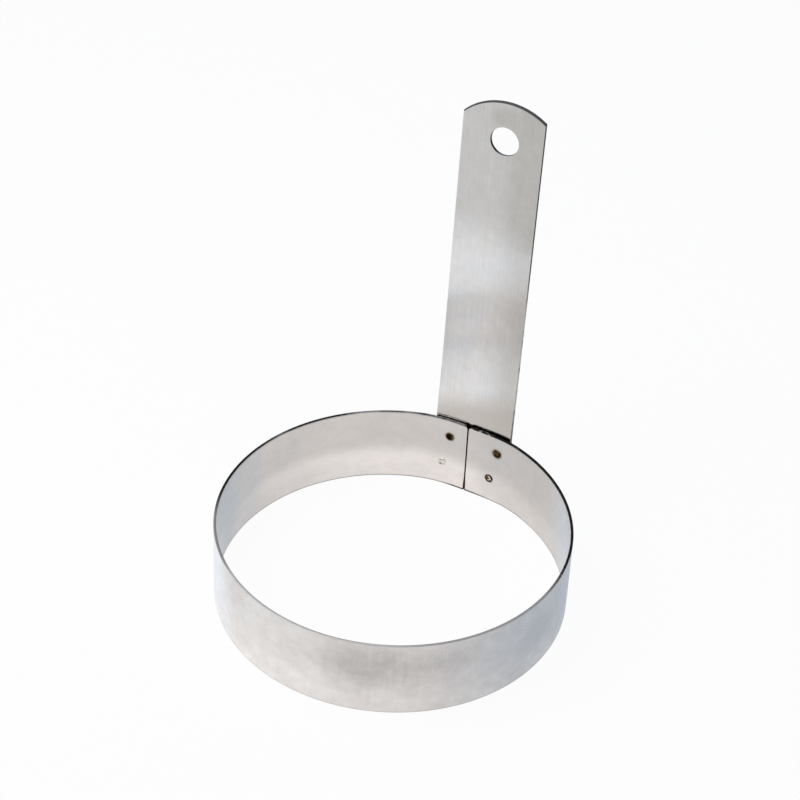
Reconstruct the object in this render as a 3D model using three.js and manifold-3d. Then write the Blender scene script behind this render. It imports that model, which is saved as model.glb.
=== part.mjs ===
// Egg ring: a steel strip rolled into a ring with a butt seam, and a flat strip handle
// spot welded over that seam. Millimetres, +Z up. The ring stands on z = 0 and the handle
// rises on the +Y side, with its broad face towards the middle of the ring.

import * as THREE from "three";
import { mergeVertices } from "three/addons/utils/BufferGeometryUtils.js";
import Module from "manifold-3d";

// Driving dimensions of the ring
const INSIDE_DIAMETER = 101.6;
const BAND_THICKNESS = 0.8;
const BAND_HEIGHT = 25;
const SEAM_GAP = 0.5;
const SEAM_OFFSET = -1.5;
const SEAM_TOP_RADIUS = 1.2;
const SEAM_BOTTOM_RADIUS = 0.3;

// The welding press leaves the band nearly flat under the handle
const PRESS_DEPTH = 0.9;
const PRESS_MARGIN = 4;

// Driving dimensions of the handle: the strip rises from the ring's top rim, leaning out a little
const STRAP_WIDTH = 25;
const STRAP_THICKNESS = 1;
const STRAP_RISE = 110.6;
const STRAP_LEAN = THREE.MathUtils.degToRad(2.4);
const TAB_SETBACK = 3;
const FLATTEN_BELOW_RIM = 3;
const FLATTEN_ABOVE_RIM = 18;
const CROWN_RADIUS = 19.5;
const CROWN_OFFSET = 1.7;
const HANG_HOLE_DIAMETER = 8.7;
const HANG_HOLE_SETBACK = 12.1;
const HANG_HOLE_OFFSET = 0.7;

// Spot welds: two rows of two, set a little askew by hand
const WELD_DIAMETER = 2.6;
const WELD_DISH_DEPTH = 0.12;
const WELD_RIM = 0.35;
const WELD_SPACING = 16.5;
const WELD_ROW_SPACING = 10.5;
const WELD_RAISE = 1.1;
const WELD_SHIFT = -0.3;
const WELD_SKEW = 1.05;

// Clearances
const SHEET_CLEARANCE = 0.3;
const WELD_CLEARANCE = 0.1;

// Fineness of the round forms
const BAND_STEPS = 192;
const STRAP_COLUMNS = 24;
const FLATTEN_STEPS = 14;
const ROUND_STEPS = 48;
const WELD_STEPS = 28;
const MERGE_DISTANCE = 1e-4;

// Sizes that follow from the driving dimensions
const insideRadius = INSIDE_DIAMETER / 2;
const outsideRadius = insideRadius + BAND_THICKNESS;
const tabHeight = BAND_HEIGHT - TAB_SETBACK;
const strapLength = tabHeight + STRAP_RISE;
const flattenStart = tabHeight - FLATTEN_BELOW_RIM;
const flattenLength = FLATTEN_BELOW_RIM + FLATTEN_ABOVE_RIM;
const pressHalfAngle = (STRAP_WIDTH / 2 + PRESS_MARGIN) / outsideRadius;
const weldRadius = WELD_DIAMETER / 2;
const dishRadius = weldRadius - WELD_RIM;
const sheetStack = BAND_THICKNESS + SHEET_CLEARANCE + STRAP_THICKNESS;
const throughCut = 4 * sheetStack;

const steel = { color: 0xc4c4c2, roughness: 0.32, metalness: 1 };
const heatTinted = { color: 0x6b5a48, roughness: 0.45, metalness: 1 };

const wasm = await Module();
wasm.setup();

/** A closed geometry as a solid that can be cut and joined. */
function solidOf(geometry) {
  const bare = geometry.clone();
  bare.deleteAttribute("normal");
  bare.deleteAttribute("uv");
  const merged = mergeVertices(bare, MERGE_DISTANCE);
  const mesh = new wasm.Mesh({
    numProp: 3,
    vertProperties: new Float32Array(merged.attributes.position.array),
    triVerts: new Uint32Array(merged.index.array),
  });
  return new wasm.Manifold(mesh);
}

/** A solid back as a geometry with flat faces. */
function geometryOf(solid) {
  const mesh = solid.getMesh();
  const geometry = new THREE.BufferGeometry();
  geometry.setAttribute("position", new THREE.BufferAttribute(mesh.vertProperties, 3));
  geometry.setIndex(new THREE.BufferAttribute(mesh.triVerts, 1));
  const faceted = geometry.toNonIndexed();
  faceted.computeVertexNormals();
  return faceted;
}

/** The geometry that is left when the cutters are taken out of a blank. */
function cut(blank, cutters) {
  const left = cutters.reduce((solid, cutter) => solid.subtract(solidOf(cutter)), solidOf(blank));
  return geometryOf(left);
}

/**
 * A formed sheet: a grid of columns across and rows along, on two faces joined by four edges.
 * place(across, along, depth) maps shares of the width, the stations and the sheet's two faces.
 */
function formedSheet(columns, stations, place) {
  const rows = stations.length - 1;
  const perFace = (columns + 1) * (rows + 1);
  const positions = [];
  for (const depth of [0, 1]) {
    for (const station of stations) {
      for (let column = 0; column <= columns; column++) {
        positions.push(...place(column / columns, station, depth).toArray());
      }
    }
  }
  const index = [];
  const at = (column, row, face) => face * perFace + row * (columns + 1) + column;
  const quad = (a, b, c, d) => index.push(a, b, c, a, c, d);
  for (let row = 0; row < rows; row++) {
    for (let column = 0; column < columns; column++) {
      const [right, up] = [column + 1, row + 1];
      quad(at(column, row, 0), at(right, row, 0), at(right, up, 0), at(column, up, 0));
      quad(at(column, row, 1), at(column, up, 1), at(right, up, 1), at(right, row, 1));
    }
    quad(at(0, row, 0), at(0, row + 1, 0), at(0, row + 1, 1), at(0, row, 1));
    quad(at(columns, row, 0), at(columns, row, 1), at(columns, row + 1, 1), at(columns, row + 1, 0));
  }
  for (let column = 0; column < columns; column++) {
    quad(at(column, 0, 0), at(column, 0, 1), at(column + 1, 0, 1), at(column + 1, 0, 0));
    quad(at(column, rows, 0), at(column + 1, rows, 0), at(column + 1, rows, 1), at(column, rows, 1));
  }
  const geometry = new THREE.BufferGeometry();
  geometry.setAttribute("position", new THREE.Float32BufferAttribute(positions, 3));
  geometry.setIndex(index);
  return geometry;
}

/** Radius of the band's outer face at an angle from +Y towards +X, drawn in where it was pressed. */
function seatRadius(angle) {
  const share = Math.min(Math.abs(angle) / pressHalfAngle, 1);
  return outsideRadius - (PRESS_DEPTH * (1 + Math.cos(Math.PI * share))) / 2;
}

/** A point at a radius and angle about the ring's axis. */
function polar(radius, angle, height) {
  return new THREE.Vector3(radius * Math.sin(angle), radius * Math.cos(angle), height);
}

/** Turns a shape drawn in X and Z into a cutter that runs out along +Y from the ring's axis. */
function radialCutter(shape, angle) {
  const reach = 2 * outsideRadius;
  const geometry = new THREE.ExtrudeGeometry(shape, {
    depth: reach,
    bevelEnabled: false,
    curveSegments: ROUND_STEPS / 4,
  });
  geometry.rotateX(Math.PI / 2).translate(0, reach, 0).rotateZ(-angle);
  return geometry;
}

/** The notch between the strip's two rounded corners at one end of the seam, open past the rim. */
function seamNotch(rim, radius, outward) {
  const half = SEAM_GAP / 2;
  const base = rim - outward * radius;
  const past = rim + outward * radius;
  const [level, end] = [0, (outward * Math.PI) / 2];
  const shape = new THREE.Shape();
  shape.moveTo(half + radius, past);
  shape.lineTo(-half - radius, past);
  shape.lineTo(-half - radius, rim);
  shape.absarc(-half - radius, base, radius, end, level, outward > 0);
  shape.lineTo(half, base);
  shape.absarc(half + radius, base, radius, Math.PI, Math.PI - end, outward > 0);
  return shape;
}

/** Where each spot weld sits: its name, angle about the ring's axis and height. */
function weldPlaces() {
  const places = [];
  for (const [rowName, row] of [["upper", 1], ["lower", -1]]) {
    for (const [sideName, side] of [["left", -1], ["right", 1]]) {
      const across = WELD_SHIFT + (side * WELD_SPACING) / 2 + row * WELD_SKEW;
      places.push({
        name: `spot_weld_${rowName}_${sideName}`,
        angle: across / outsideRadius,
        height: BAND_HEIGHT / 2 + WELD_RAISE + (row * WELD_ROW_SPACING) / 2,
      });
    }
  }
  return places;
}

/** A cutter for the hole that a weld fills through both sheets. */
function weldHole(place) {
  const radius = weldRadius + WELD_CLEARANCE;
  const geometry = new THREE.CylinderGeometry(radius, radius, throughCut, WELD_STEPS);
  const middle = seatRadius(place.angle) + (SHEET_CLEARANCE + STRAP_THICKNESS - BAND_THICKNESS) / 2;
  geometry.translate(0, middle, place.height).rotateZ(-place.angle);
  return geometry;
}

/** The rolled band, from one side of the seam right round to the other. */
function bandGeometry(welds) {
  const seam = SEAM_OFFSET / outsideRadius;
  const halfGap = SEAM_GAP / 2 / outsideRadius;
  const place = (share, height, depth) => {
    const angle = seam + halfGap + share * 2 * (Math.PI - halfGap);
    const fromHandle = THREE.MathUtils.euclideanModulo(angle + Math.PI, 2 * Math.PI) - Math.PI;
    return polar(seatRadius(fromHandle) - BAND_THICKNESS * (1 - depth), angle, height);
  };
  const blank = formedSheet(BAND_STEPS, [0, BAND_HEIGHT], place);
  const notches = [
    seamNotch(BAND_HEIGHT, SEAM_TOP_RADIUS, 1),
    seamNotch(0, SEAM_BOTTOM_RADIUS, -1),
  ];
  const notchCutters = notches.map((shape) => radialCutter(shape, seam));
  return cut(blank, [...notchCutters, ...welds.map(weldHole)]);
}

/** The strip's run seen from the side: out, up and tilt at a length from the tab's lower end. */
function strapRun(length) {
  const below = Math.min(length, flattenStart);
  const bent = THREE.MathUtils.clamp(length - flattenStart, 0, flattenLength);
  const beyond = Math.max(length - flattenStart - flattenLength, 0);
  const tilt = (bent / flattenLength) * STRAP_LEAN;
  const halfTilt = tilt / 2;
  const chord = halfTilt === 0 ? bent : (bent * Math.sin(halfTilt)) / halfTilt;
  return {
    out: chord * Math.sin(halfTilt) + beyond * Math.sin(STRAP_LEAN),
    up: TAB_SETBACK + below + chord * Math.cos(halfTilt) + beyond * Math.cos(STRAP_LEAN),
    tilt,
  };
}

/** A point of the strip: across its width, along its length and through its thickness. */
function strapPoint(across, length, through) {
  const { out, up, tilt } = strapRun(length);
  const foot = seatRadius(0) + SHEET_CLEARANCE;
  const angle = across / (foot + STRAP_THICKNESS / 2);
  const radius = seatRadius(angle) + SHEET_CLEARANCE + through;
  const flat = THREE.MathUtils.smoothstep(length, flattenStart, flattenStart + flattenLength);
  const x = THREE.MathUtils.lerp(radius * Math.sin(angle), across, flat);
  const lift = THREE.MathUtils.lerp(radius * Math.cos(angle) - foot, through, flat);
  return new THREE.Vector3(x, foot + out + lift * Math.cos(tilt), up - lift * Math.sin(tilt));
}

/** Moves a cutter drawn about the handle's upper end, Y through the strip, onto the leaning strip. */
function ontoStrap(geometry, across, length) {
  const { out, up, tilt } = strapRun(length);
  geometry.rotateX(-tilt).translate(across, seatRadius(0) + SHEET_CLEARANCE + out, up);
  return geometry;
}

/** What is cropped off the strip's end: all that lies past the crown's arc. */
function crownCutter() {
  const reach = CROWN_RADIUS + STRAP_WIDTH;
  const shape = new THREE.Shape();
  shape.moveTo(reach, -CROWN_RADIUS);
  shape.lineTo(reach, reach);
  shape.lineTo(-reach, reach);
  shape.lineTo(-reach, -CROWN_RADIUS);
  shape.lineTo(-CROWN_RADIUS, -CROWN_RADIUS);
  shape.absarc(0, -CROWN_RADIUS, CROWN_RADIUS, Math.PI, 0, true);
  const geometry = new THREE.ExtrudeGeometry(shape, {
    depth: throughCut,
    bevelEnabled: false,
    curveSegments: ROUND_STEPS,
  });
  geometry.rotateX(Math.PI / 2).translate(0, throughCut / 2, 0);
  return ontoStrap(geometry, CROWN_OFFSET, strapLength);
}

/** The hole that the ring hangs by. */
function hangHole() {
  const radius = HANG_HOLE_DIAMETER / 2;
  const geometry = new THREE.CylinderGeometry(radius, radius, throughCut, ROUND_STEPS);
  return ontoStrap(geometry, HANG_HOLE_OFFSET, strapLength - HANG_HOLE_SETBACK);
}

/** The handle: a tab rolled to the band below, flattening into a straight strip above the rim. */
function strapGeometry(welds) {
  const stations = [0];
  for (let step = 0; step <= FLATTEN_STEPS; step++) {
    stations.push(flattenStart + (step / FLATTEN_STEPS) * flattenLength);
  }
  stations.push(strapLength + STRAP_THICKNESS);
  const place = (share, length, depth) =>
    strapPoint((share - 0.5) * STRAP_WIDTH, length, depth * STRAP_THICKNESS);
  const blank = formedSheet(STRAP_COLUMNS, stations, place);
  return cut(blank, [crownCutter(), hangHole(), ...welds.map(weldHole)]);
}

/** A weld: fused metal through both sheets, with the electrode's shallow dish in each end. */
function weldGeometry() {
  const half = sheetStack / 2;
  const dish = half - WELD_DISH_DEPTH;
  const profile = [
    new THREE.Vector2(0, -dish),
    new THREE.Vector2(dishRadius, -dish),
    new THREE.Vector2(weldRadius, -half),
    new THREE.Vector2(weldRadius, half),
    new THREE.Vector2(dishRadius, dish),
    new THREE.Vector2(0, dish),
  ];
  return new THREE.LatheGeometry(profile, WELD_STEPS);
}

/** A named piece with its own material. */
function piece(name, geometry, finish) {
  const mesh = new THREE.Mesh(geometry, new THREE.MeshStandardMaterial(finish));
  mesh.name = name;
  return mesh;
}

const eggRing = new THREE.Group();
eggRing.name = "egg_ring";

const welds = weldPlaces();
const assembly = new THREE.Group();
assembly.add(piece("ring_band", bandGeometry(welds), steel));
assembly.add(piece("handle_strap", strapGeometry(welds), steel));

for (const place of welds) {
  const arm = new THREE.Group();
  arm.rotation.z = -place.angle;
  const weld = piece(place.name, weldGeometry(), heatTinted);
  const inner = seatRadius(place.angle) - BAND_THICKNESS;
  weld.position.set(0, inner + sheetStack / 2, place.height);
  arm.add(weld);
  assembly.add(arm);
}

// The origin is under the middle of the whole object, a little behind the ring's axis
const backMost = strapPoint(0, strapLength, STRAP_THICKNESS).y;
assembly.position.y = -(backMost - outsideRadius) / 2;
eggRing.add(assembly);

export default eggRing;
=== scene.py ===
"""Looks of an egg ring: a rolled steel band with a butt seam, a strip handle and its spot welds.

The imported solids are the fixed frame. Each piece here is a finer, smooth mesh of the same size,
in metres and in the same frame, with a procedural steel finish.
"""

import logging
import math
from dataclasses import dataclass
from enum import Enum
from typing import Any, Sequence, Union

import bmesh
import bpy
from mathutils import Matrix, Vector


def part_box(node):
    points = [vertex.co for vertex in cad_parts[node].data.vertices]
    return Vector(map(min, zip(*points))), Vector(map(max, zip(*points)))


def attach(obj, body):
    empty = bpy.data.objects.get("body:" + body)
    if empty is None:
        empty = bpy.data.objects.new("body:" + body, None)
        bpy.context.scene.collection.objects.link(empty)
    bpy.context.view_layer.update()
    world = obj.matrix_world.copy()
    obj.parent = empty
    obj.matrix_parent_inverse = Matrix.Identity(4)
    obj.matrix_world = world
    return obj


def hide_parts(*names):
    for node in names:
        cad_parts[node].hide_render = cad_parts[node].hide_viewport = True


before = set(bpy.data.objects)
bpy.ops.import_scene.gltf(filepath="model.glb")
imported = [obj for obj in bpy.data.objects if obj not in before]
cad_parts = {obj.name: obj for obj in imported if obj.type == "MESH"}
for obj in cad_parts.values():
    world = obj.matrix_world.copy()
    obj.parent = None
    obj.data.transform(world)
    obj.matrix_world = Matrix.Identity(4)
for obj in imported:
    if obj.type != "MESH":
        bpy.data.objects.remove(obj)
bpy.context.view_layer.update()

LOG = logging.getLogger("egg_ring")
BODY = "root"
MM = 0.001
IMAGE_SIDE = 800
SENSOR_WIDTH = 36.0

Number = Union[int, float]
Operand = Union["Sock", Number]
Colour = tuple[float, float, float]

WHITE: Colour = (1.0, 1.0, 1.0)


class Sock:
    """A node's output that takes part in arithmetic: each operator adds a Math node."""

    def __init__(self, kit: "NodeKit", socket: bpy.types.NodeSocket) -> None:
        self.kit = kit
        self.socket = socket

    def _math(self, operation: str, *operands: Operand) -> "Sock":
        """Adds a Math node on these operands."""
        return self.kit.add("ShaderNodeMath", {"operation": operation}, dict(enumerate(operands)))

    def __add__(self, other: Operand) -> "Sock":
        """Sum."""
        return self._math("ADD", self, other)

    def __radd__(self, other: Number) -> "Sock":
        """Sum with a number in front."""
        return self._math("ADD", other, self)

    def __sub__(self, other: Operand) -> "Sock":
        """Difference."""
        return self._math("SUBTRACT", self, other)

    def __rsub__(self, other: Number) -> "Sock":
        """Difference from a number."""
        return self._math("SUBTRACT", other, self)

    def __mul__(self, other: Operand) -> "Sock":
        """Product."""
        return self._math("MULTIPLY", self, other)

    def __rmul__(self, other: Number) -> "Sock":
        """Product with a number in front."""
        return self._math("MULTIPLY", other, self)

    def __truediv__(self, other: Operand) -> "Sock":
        """Quotient."""
        return self._math("DIVIDE", self, other)

    def __rtruediv__(self, other: Number) -> "Sock":
        """Quotient of a number by this."""
        return self._math("DIVIDE", other, self)

    def __neg__(self) -> "Sock":
        """Negative."""
        return self._math("MULTIPLY", self, -1.0)

    def __abs__(self) -> "Sock":
        """Absolute value."""
        return self._math("ABSOLUTE", self)

    def sin(self) -> "Sock":
        """Sine of an angle in radians."""
        return self._math("SINE", self)

    def cos(self) -> "Sock":
        """Cosine of an angle in radians."""
        return self._math("COSINE", self)

    def sign(self) -> "Sock":
        """1 above nothing, -1 below it."""
        return self._math("SIGN", self)

    def sqrt(self) -> "Sock":
        """Square root."""
        return self._math("SQRT", self)

    def arctan2(self, other: Operand) -> "Sock":
        """Angle of the point whose upright part is this and whose level part is the other."""
        return self._math("ARCTAN2", self, other)

    def wrap(self, high: Number, low: Number) -> "Sock":
        """The value brought into a range by whole turns of it."""
        return self._math("WRAP", self, high, low)

    def least(self, other: Operand) -> "Sock":
        """The smaller of two."""
        return self._math("MINIMUM", self, other)

    def most(self, other: Operand) -> "Sock":
        """The larger of two."""
        return self._math("MAXIMUM", self, other)

    def share(self) -> "Sock":
        """The value held between 0 and 1."""
        return self.most(0.0).least(1.0)

    def ramp(self, low: Operand, high: Operand, before: Operand = 0.0, after: Operand = 1.0) -> "Sock":
        """Eases from one value to another as this goes from low to high, and stays there outside.

        Args:
            low: where the change starts.
            high: where it ends.
            before: the value below it.
            after: the value above it.

        Returns:
            The eased value.
        """
        inputs = {0: self, 1: low, 2: high, 3: before, 4: after}
        return self.kit.add("ShaderNodeMapRange", {"interpolation_type": "SMOOTHSTEP"}, inputs)


class NodeKit:
    """Adds nodes to one tree, by type, settings and the values or links of their inputs."""

    def __init__(self, tree: bpy.types.NodeTree, owner: bpy.types.ID | None = None) -> None:
        """Takes the tree that the nodes go into, and the material or world that it belongs to."""
        self.tree = tree
        self.owner = owner

    @classmethod
    def fresh(cls, owner: bpy.types.ID) -> "NodeKit":
        """Opens the nodes of a new material or world, with none in them.

        Args:
            owner: the material or world.

        Returns:
            Its empty nodes.
        """
        owner.use_nodes = True
        owner.node_tree.nodes.clear()
        return cls(owner.node_tree, owner)

    def node(
        self,
        kind: str,
        settings: dict[str, Any] | None = None,
        inputs: dict[Union[int, str], Any] | None = None,
    ) -> bpy.types.Node:
        """Adds a node.

        Args:
            kind: the node's type name.
            settings: the node's own properties, set first.
            inputs: values or wrapped sockets, by the input's name or number.

        Returns:
            The node.
        """
        made = self.tree.nodes.new(kind)
        for name, value in (settings or {}).items():
            setattr(made, name, value)
        for key, value in (inputs or {}).items():
            self.feed(made.inputs[key], value)
        return made

    def add(
        self,
        kind: str,
        settings: dict[str, Any] | None = None,
        inputs: dict[Union[int, str], Any] | None = None,
        output: Union[int, str] = 0,
    ) -> Sock:
        """Adds a node and gives one of its outputs.

        Args:
            kind: the node's type name.
            settings: the node's own properties, set first.
            inputs: values or wrapped sockets, by the input's name or number.
            output: the name or number of the output to give.

        Returns:
            The wrapped output.
        """
        return Sock(self, self.node(kind, settings, inputs).outputs[output])

    def feed(self, target: bpy.types.NodeSocket, value: Any) -> None:
        """Links a wrapped socket to an input, or sets the input's own value.

        Args:
            target: the input.
            value: the wrapped socket or the value.
        """
        if isinstance(value, Sock):
            self.tree.links.new(value.socket, target)
        else:
            target.default_value = value

    def noise(self, vector: Sock, scale: float, detail: float, roughness: float = 0.5) -> Sock:
        """A noise value from 0 to 1 at points of a vector.

        Args:
            vector: where the noise is read.
            scale: features in a unit of the vector.
            detail: octaves of finer noise.
            roughness: how strong the finer octaves are.

        Returns:
            The noise value.
        """
        inputs = {"Vector": vector, "Scale": scale, "Detail": detail, "Roughness": roughness}
        return self.add("ShaderNodeTexNoise", {}, inputs)

    def vector(self, x: Operand, y: Operand, z: Operand) -> Sock:
        """A vector of three values."""
        return self.add("ShaderNodeCombineXYZ", {}, {0: x, 1: y, 2: z})

    def split(self, vector: Sock) -> tuple[Sock, Sock, Sock]:
        """The three parts of a vector.

        Args:
            vector: the vector.

        Returns:
            Its x, y and z.
        """
        node = self.node("ShaderNodeSeparateXYZ", {}, {0: vector})
        x, y, z = (Sock(self, output) for output in node.outputs)
        return x, y, z

    def vector_math(self, operation: str, *operands: Any, output: Union[int, str] = 0) -> Sock:
        """Adds a Vector Math node on these operands."""
        settings = {"operation": operation}
        return self.add("ShaderNodeVectorMath", settings, dict(enumerate(operands)), output)

    def scale(self, colour: Sock, factor: Operand) -> Sock:
        """A colour made brighter or darker by a factor."""
        return self.add("ShaderNodeVectorMath", {"operation": "SCALE"}, {0: colour, "Scale": factor})

    def mix_colour(self, factor: Operand, first: Any, second: Any) -> Sock:
        """A colour between two.

        Args:
            factor: 0 gives the first, 1 the second.
            first: a colour or a socket.
            second: a colour or a socket.

        Returns:
            The mixed colour.
        """
        inputs = {0: factor, 6: self.rgba(first), 7: self.rgba(second)}
        return self.add("ShaderNodeMix", {"data_type": "RGBA"}, inputs, 2)

    @staticmethod
    def rgba(colour: Any) -> Any:
        """A colour with its alpha, or the socket as it is."""
        return colour if isinstance(colour, Sock) else (*colour, 1.0)

    def metal(self, colour: Sock, roughness: Sock, normal: Sock) -> bpy.types.ID:
        """Ends a material as bare metal.

        Args:
            colour: the metal's colour.
            roughness: its roughness.
            normal: the bumped normal.

        Returns:
            The material.
        """
        inputs = {"Base Color": colour, "Roughness": roughness, "Metallic": 1.0, "Normal": normal}
        shader = self.add("ShaderNodeBsdfPrincipled", {}, inputs)
        self.node("ShaderNodeOutputMaterial", {}, {"Surface": shader})
        return self.owner

    def store(self, geometry: Sock, name: str, value: Operand) -> Sock:
        """Geometry that carries a named value on its points.

        Args:
            geometry: the geometry.
            name: the value's name.
            value: the value, or what gives it.

        Returns:
            The geometry with the value on it.
        """
        settings = {"data_type": "FLOAT", "domain": "POINT"}
        inputs = {"Geometry": geometry, "Name": name, "Value": value}
        return self.add("GeometryNodeStoreNamedAttribute", settings, inputs)


class SocketKind(Enum):
    """Kinds of input that a tree of geometry nodes takes."""

    FLOAT = "NodeSocketFloat"
    COUNT = "NodeSocketInt"
    MATERIAL = "NodeSocketMaterial"

    @classmethod
    def of(cls, value: Any) -> "SocketKind":
        """The kind that takes a value.

        Args:
            value: a material, a count or a measure.

        Returns:
            The kind.
        """
        if isinstance(value, bpy.types.Material):
            return cls.MATERIAL
        return cls.COUNT if isinstance(value, int) else cls.FLOAT


class ShapeTree:
    """A tree of geometry nodes with named inputs, turned into a plain mesh."""

    MATERIAL = "Material"

    def __init__(self, name: str, inputs: dict[str, Any]) -> None:
        """Makes the tree and its inputs, each with its value.

        Args:
            name: the tree's name.
            inputs: the value of each named input.
        """
        self.tree = bpy.data.node_groups.new(name, "GeometryNodeTree")
        self.values: dict[str, Any] = {}
        sockets = self.tree.interface
        for label, value in inputs.items():
            kind = SocketKind.of(value).value
            socket = sockets.new_socket(name=label, in_out="INPUT", socket_type=kind)
            self.values[socket.identifier] = value
        sockets.new_socket(name="Geometry", in_out="OUTPUT", socket_type="NodeSocketGeometry")
        self.kit = NodeKit(self.tree)
        self._entry = self.kit.node("NodeGroupInput")

    def size(self, label: str) -> Sock:
        """One of the tree's named inputs."""
        return Sock(self.kit, self._entry.outputs[label])

    def move(self, geometry: Sock, **places: Sock) -> Sock:
        """Geometry with its points at a new Position, or moved by an Offset."""
        return self.kit.add("GeometryNodeSetPosition", {}, {"Geometry": geometry, **places})

    def close(self, geometry: Sock) -> None:
        """Ends the tree: real geometry with its material.

        Args:
            geometry: the finished geometry.
        """
        real = self.kit.add("GeometryNodeRealizeInstances", {}, {"Geometry": geometry})
        inputs = {"Geometry": real, "Material": self.size(self.MATERIAL)}
        dressed = self.kit.add("GeometryNodeSetMaterial", {}, inputs)
        self.kit.node("NodeGroupOutput", {}, {0: dressed})

    def mesh(self, name: str) -> bpy.types.Object:
        """Evaluates the tree once and gives its result as an object with a plain mesh.

        Args:
            name: the new object's name.

        Returns:
            The object, at the origin, with no modifier.
        """
        made = add_object(name, bpy.data.meshes.new(name))
        modifier = made.modifiers.new("shape", "NODES")
        modifier.node_group = self.tree
        for identifier, value in self.values.items():
            modifier[identifier] = value
        return bake_modifiers(made)


def add_object(name: str, data: bpy.types.ID) -> bpy.types.Object:
    """Puts a mesh, lamp or camera into the scene.

    Args:
        name: the new object's name.
        data: what it shows.

    Returns:
        The object, at the origin.
    """
    made = bpy.data.objects.new(name, data)
    bpy.context.scene.collection.objects.link(made)
    return made


def bake_modifiers(piece: bpy.types.Object) -> bpy.types.Object:
    """Turns a piece and its modifiers into a plain mesh.

    Args:
        piece: the object, which keeps its name.

    Returns:
        The same object, with no modifier left.
    """
    bpy.context.view_layer.update()
    graph = bpy.context.evaluated_depsgraph_get()
    mesh = bpy.data.meshes.new_from_object(
        piece.evaluated_get(graph), preserve_all_data_layers=True, depsgraph=graph
    )
    piece.modifiers.clear()
    piece.data = mesh
    mesh.name = piece.name
    return piece


def even_normals(piece: bpy.types.Object) -> bpy.types.Object:
    """Shades a piece smooth with its broad faces flat and its narrow edge rounds soft.

    Args:
        piece: the object with a plain mesh.

    Returns:
        The same object.
    """
    for polygon in piece.data.polygons:
        polygon.use_smooth = True
    modifier = piece.modifiers.new("even", "WEIGHTED_NORMAL")
    modifier.mode = "FACE_AREA"
    modifier.weight = 100
    modifier.keep_sharp = True
    return bake_modifiers(piece)


def tie(piece: bpy.types.Object, slot: str, *nodes: str) -> bpy.types.Object:
    """Ties a piece to its body and hides the solids that it stands for.

    Args:
        piece: the finished piece.
        slot: not used.
        nodes: the solids.

    Returns:
        The same piece.
    """
    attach(piece, BODY)
    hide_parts(*nodes)
    return piece


def ease(value: float, low: float, high: float) -> float:
    """Eases from 0 at low to 1 at high."""
    share = min(max((value - low) / (high - low), 0.0), 1.0)
    return share * share * (3 - 2 * share)


def mixed(first: Operand, second: Operand, share: Operand) -> Operand:
    """A value between two, for numbers and for sockets."""
    return first + (second - first) * share


def direction(azimuth: float, elevation: float) -> Vector:
    """The way to a viewpoint, in degrees round from the front and up from the floor."""
    turn, rise = math.radians(azimuth), math.radians(elevation)
    return Vector((math.sin(turn) * math.cos(rise), -math.cos(turn) * math.cos(rise), math.sin(rise)))


@dataclass(frozen=True)
class WeldLook:
    """How one weld came out: its tint, how many millimetres its halo spreads, and its bright flecks."""

    tint: float
    halo: float
    flecks: float


class Rows(Enum):
    """The two rows of welds."""

    UPPER = 1
    LOWER = -1


class Sides(Enum):
    """The two columns of welds, seen from inside the ring."""

    LEFT = -1
    RIGHT = 1


WELD_LOOKS = {
    (Rows.UPPER, Sides.LEFT): WeldLook(1.0, 1.1, 0.0),
    (Rows.UPPER, Sides.RIGHT): WeldLook(1.0, 1.5, 0.35),
    (Rows.LOWER, Sides.LEFT): WeldLook(0.05, 0.5, 0.3),
    (Rows.LOWER, Sides.RIGHT): WeldLook(1.0, 0.7, 0.9),
}


@dataclass(frozen=True)
class RingSizes:
    """Sizes of the whole ring, in metres, from the solids' boxes and the sheet's own measures."""

    outside_radius: float
    axis_y: float
    height: float
    tab_bottom: float
    strap_top: float
    band_thickness: float = 0.8 * MM
    seam_gap: float = 0.5 * MM
    seam_foot_gap: float = 0.2 * MM
    seam_draw: float = 6.0 * MM
    seam_offset: float = -1.5 * MM
    seam_top_radius: float = 1.2 * MM
    seam_bottom_radius: float = 0.3 * MM
    press_depth: float = 0.9 * MM
    press_margin: float = 4.0 * MM
    strap_width: float = 25.0 * MM
    strap_thickness: float = 1.0 * MM
    strap_rise: float = 110.6 * MM
    strap_lean: float = math.radians(2.4)
    flatten_below_rim: float = 3.0 * MM
    flatten_above_rim: float = 18.0 * MM
    crown_radius: float = 19.5 * MM
    crown_offset: float = 1.7 * MM
    hole_radius: float = 4.35 * MM
    hole_setback: float = 12.1 * MM
    hole_offset: float = 0.7 * MM
    sheet_clearance: float = 0.3 * MM
    weld_radius: float = 1.3 * MM
    weld_spacing: float = 16.5 * MM
    weld_row_spacing: float = 10.5 * MM
    weld_raise: float = 1.1 * MM
    weld_shift: float = -0.3 * MM
    weld_skew: float = 1.05 * MM

    @classmethod
    def from_frame(cls) -> "RingSizes":
        """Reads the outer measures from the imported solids.

        Returns:
            The sizes.
        """
        low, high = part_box("ring_band")
        tab_low, tab_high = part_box("handle_strap")
        radius = (high.x - low.x) / 2
        return cls(radius, low.y + radius, high.z - low.z, tab_low.z, tab_high.z)

    @property
    def press_half_angle(self) -> float:
        """Half the angle over which the band was pressed in."""
        return (self.strap_width / 2 + self.press_margin) / self.outside_radius

    @property
    def seam_angle(self) -> float:
        """The seam's angle from +Y towards +X."""
        return self.seam_offset / self.outside_radius

    @property
    def stack(self) -> float:
        """Depth of the two sheets and the gap between them."""
        return self.band_thickness + self.sheet_clearance + self.strap_thickness

    def seat_radius(self, angle: float) -> float:
        """Radius of the band's outer face at an angle from +Y, drawn in where it was pressed."""
        share = min(abs(angle) / self.press_half_angle, 1.0)
        return self.outside_radius - self.press_depth * (1 + math.cos(math.pi * share)) / 2


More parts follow.
